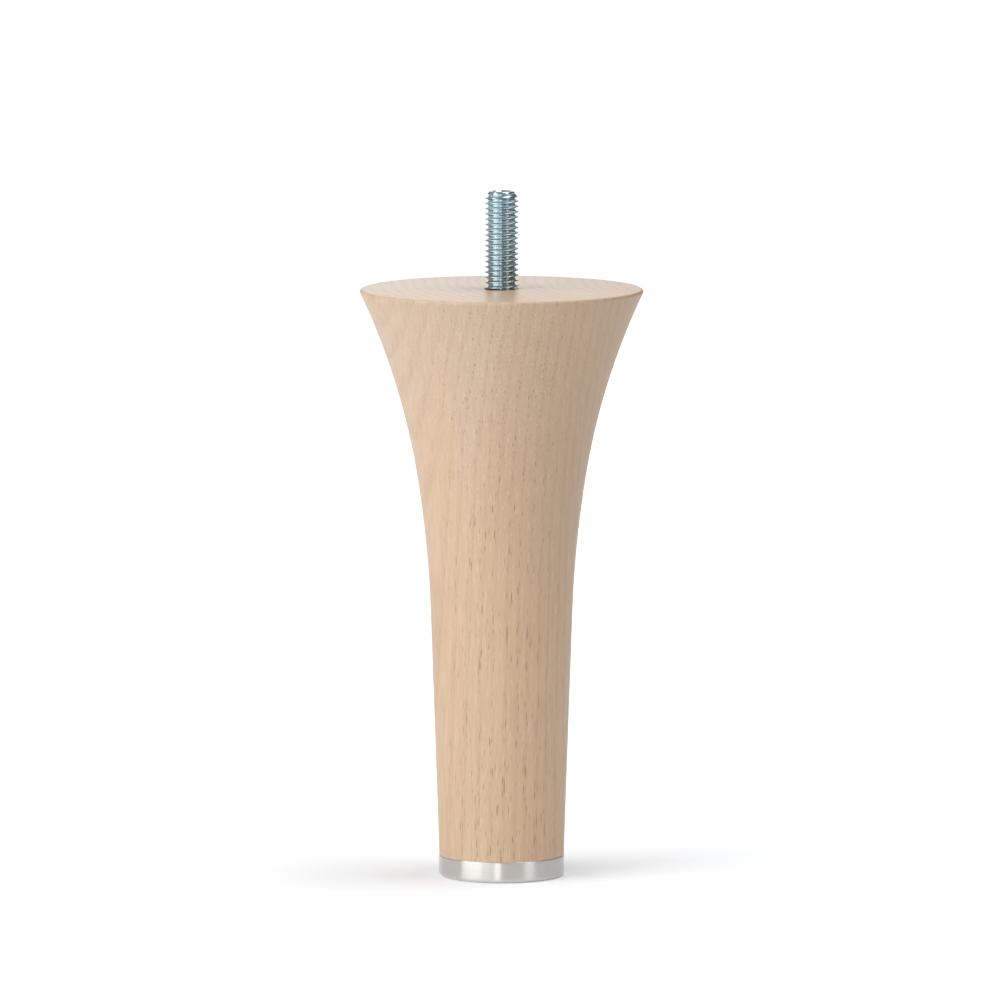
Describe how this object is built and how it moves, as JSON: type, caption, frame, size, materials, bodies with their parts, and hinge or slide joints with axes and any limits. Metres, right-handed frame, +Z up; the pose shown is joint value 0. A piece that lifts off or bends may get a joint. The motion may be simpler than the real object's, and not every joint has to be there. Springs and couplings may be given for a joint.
{
  "type": "bed leg",
  "caption": "Turned oak bed leg, slim at the foot and flared like a trumpet to a flat seat, with a threaded stud on top and a metal cap on its foot.",
  "frame": {"origin": "middle of the cap's underside, where the leg stands on the floor", "axes": "+Z up along the axis of the leg, from the foot to the stud"},
  "size_m": [0.067, 0.067, 0.1632],
  "materials": {
    "oak": "pale oak with open grain, matt lacquered",
    "zinc_plated_steel": "bright bluish zinc plate on a rolled thread",
    "satin_stainless": "turned and fine brushed stainless steel",
    "screw_steel": "zinc plated wood screw"
  },
  "bodies": {
    "root": {"turned_leg": "oak", "hanger_bolt": "zinc_plated_steel", "foot_cap": "satin_stainless", "cap_screw": "screw_steel"}
  },
  "joints": []
}
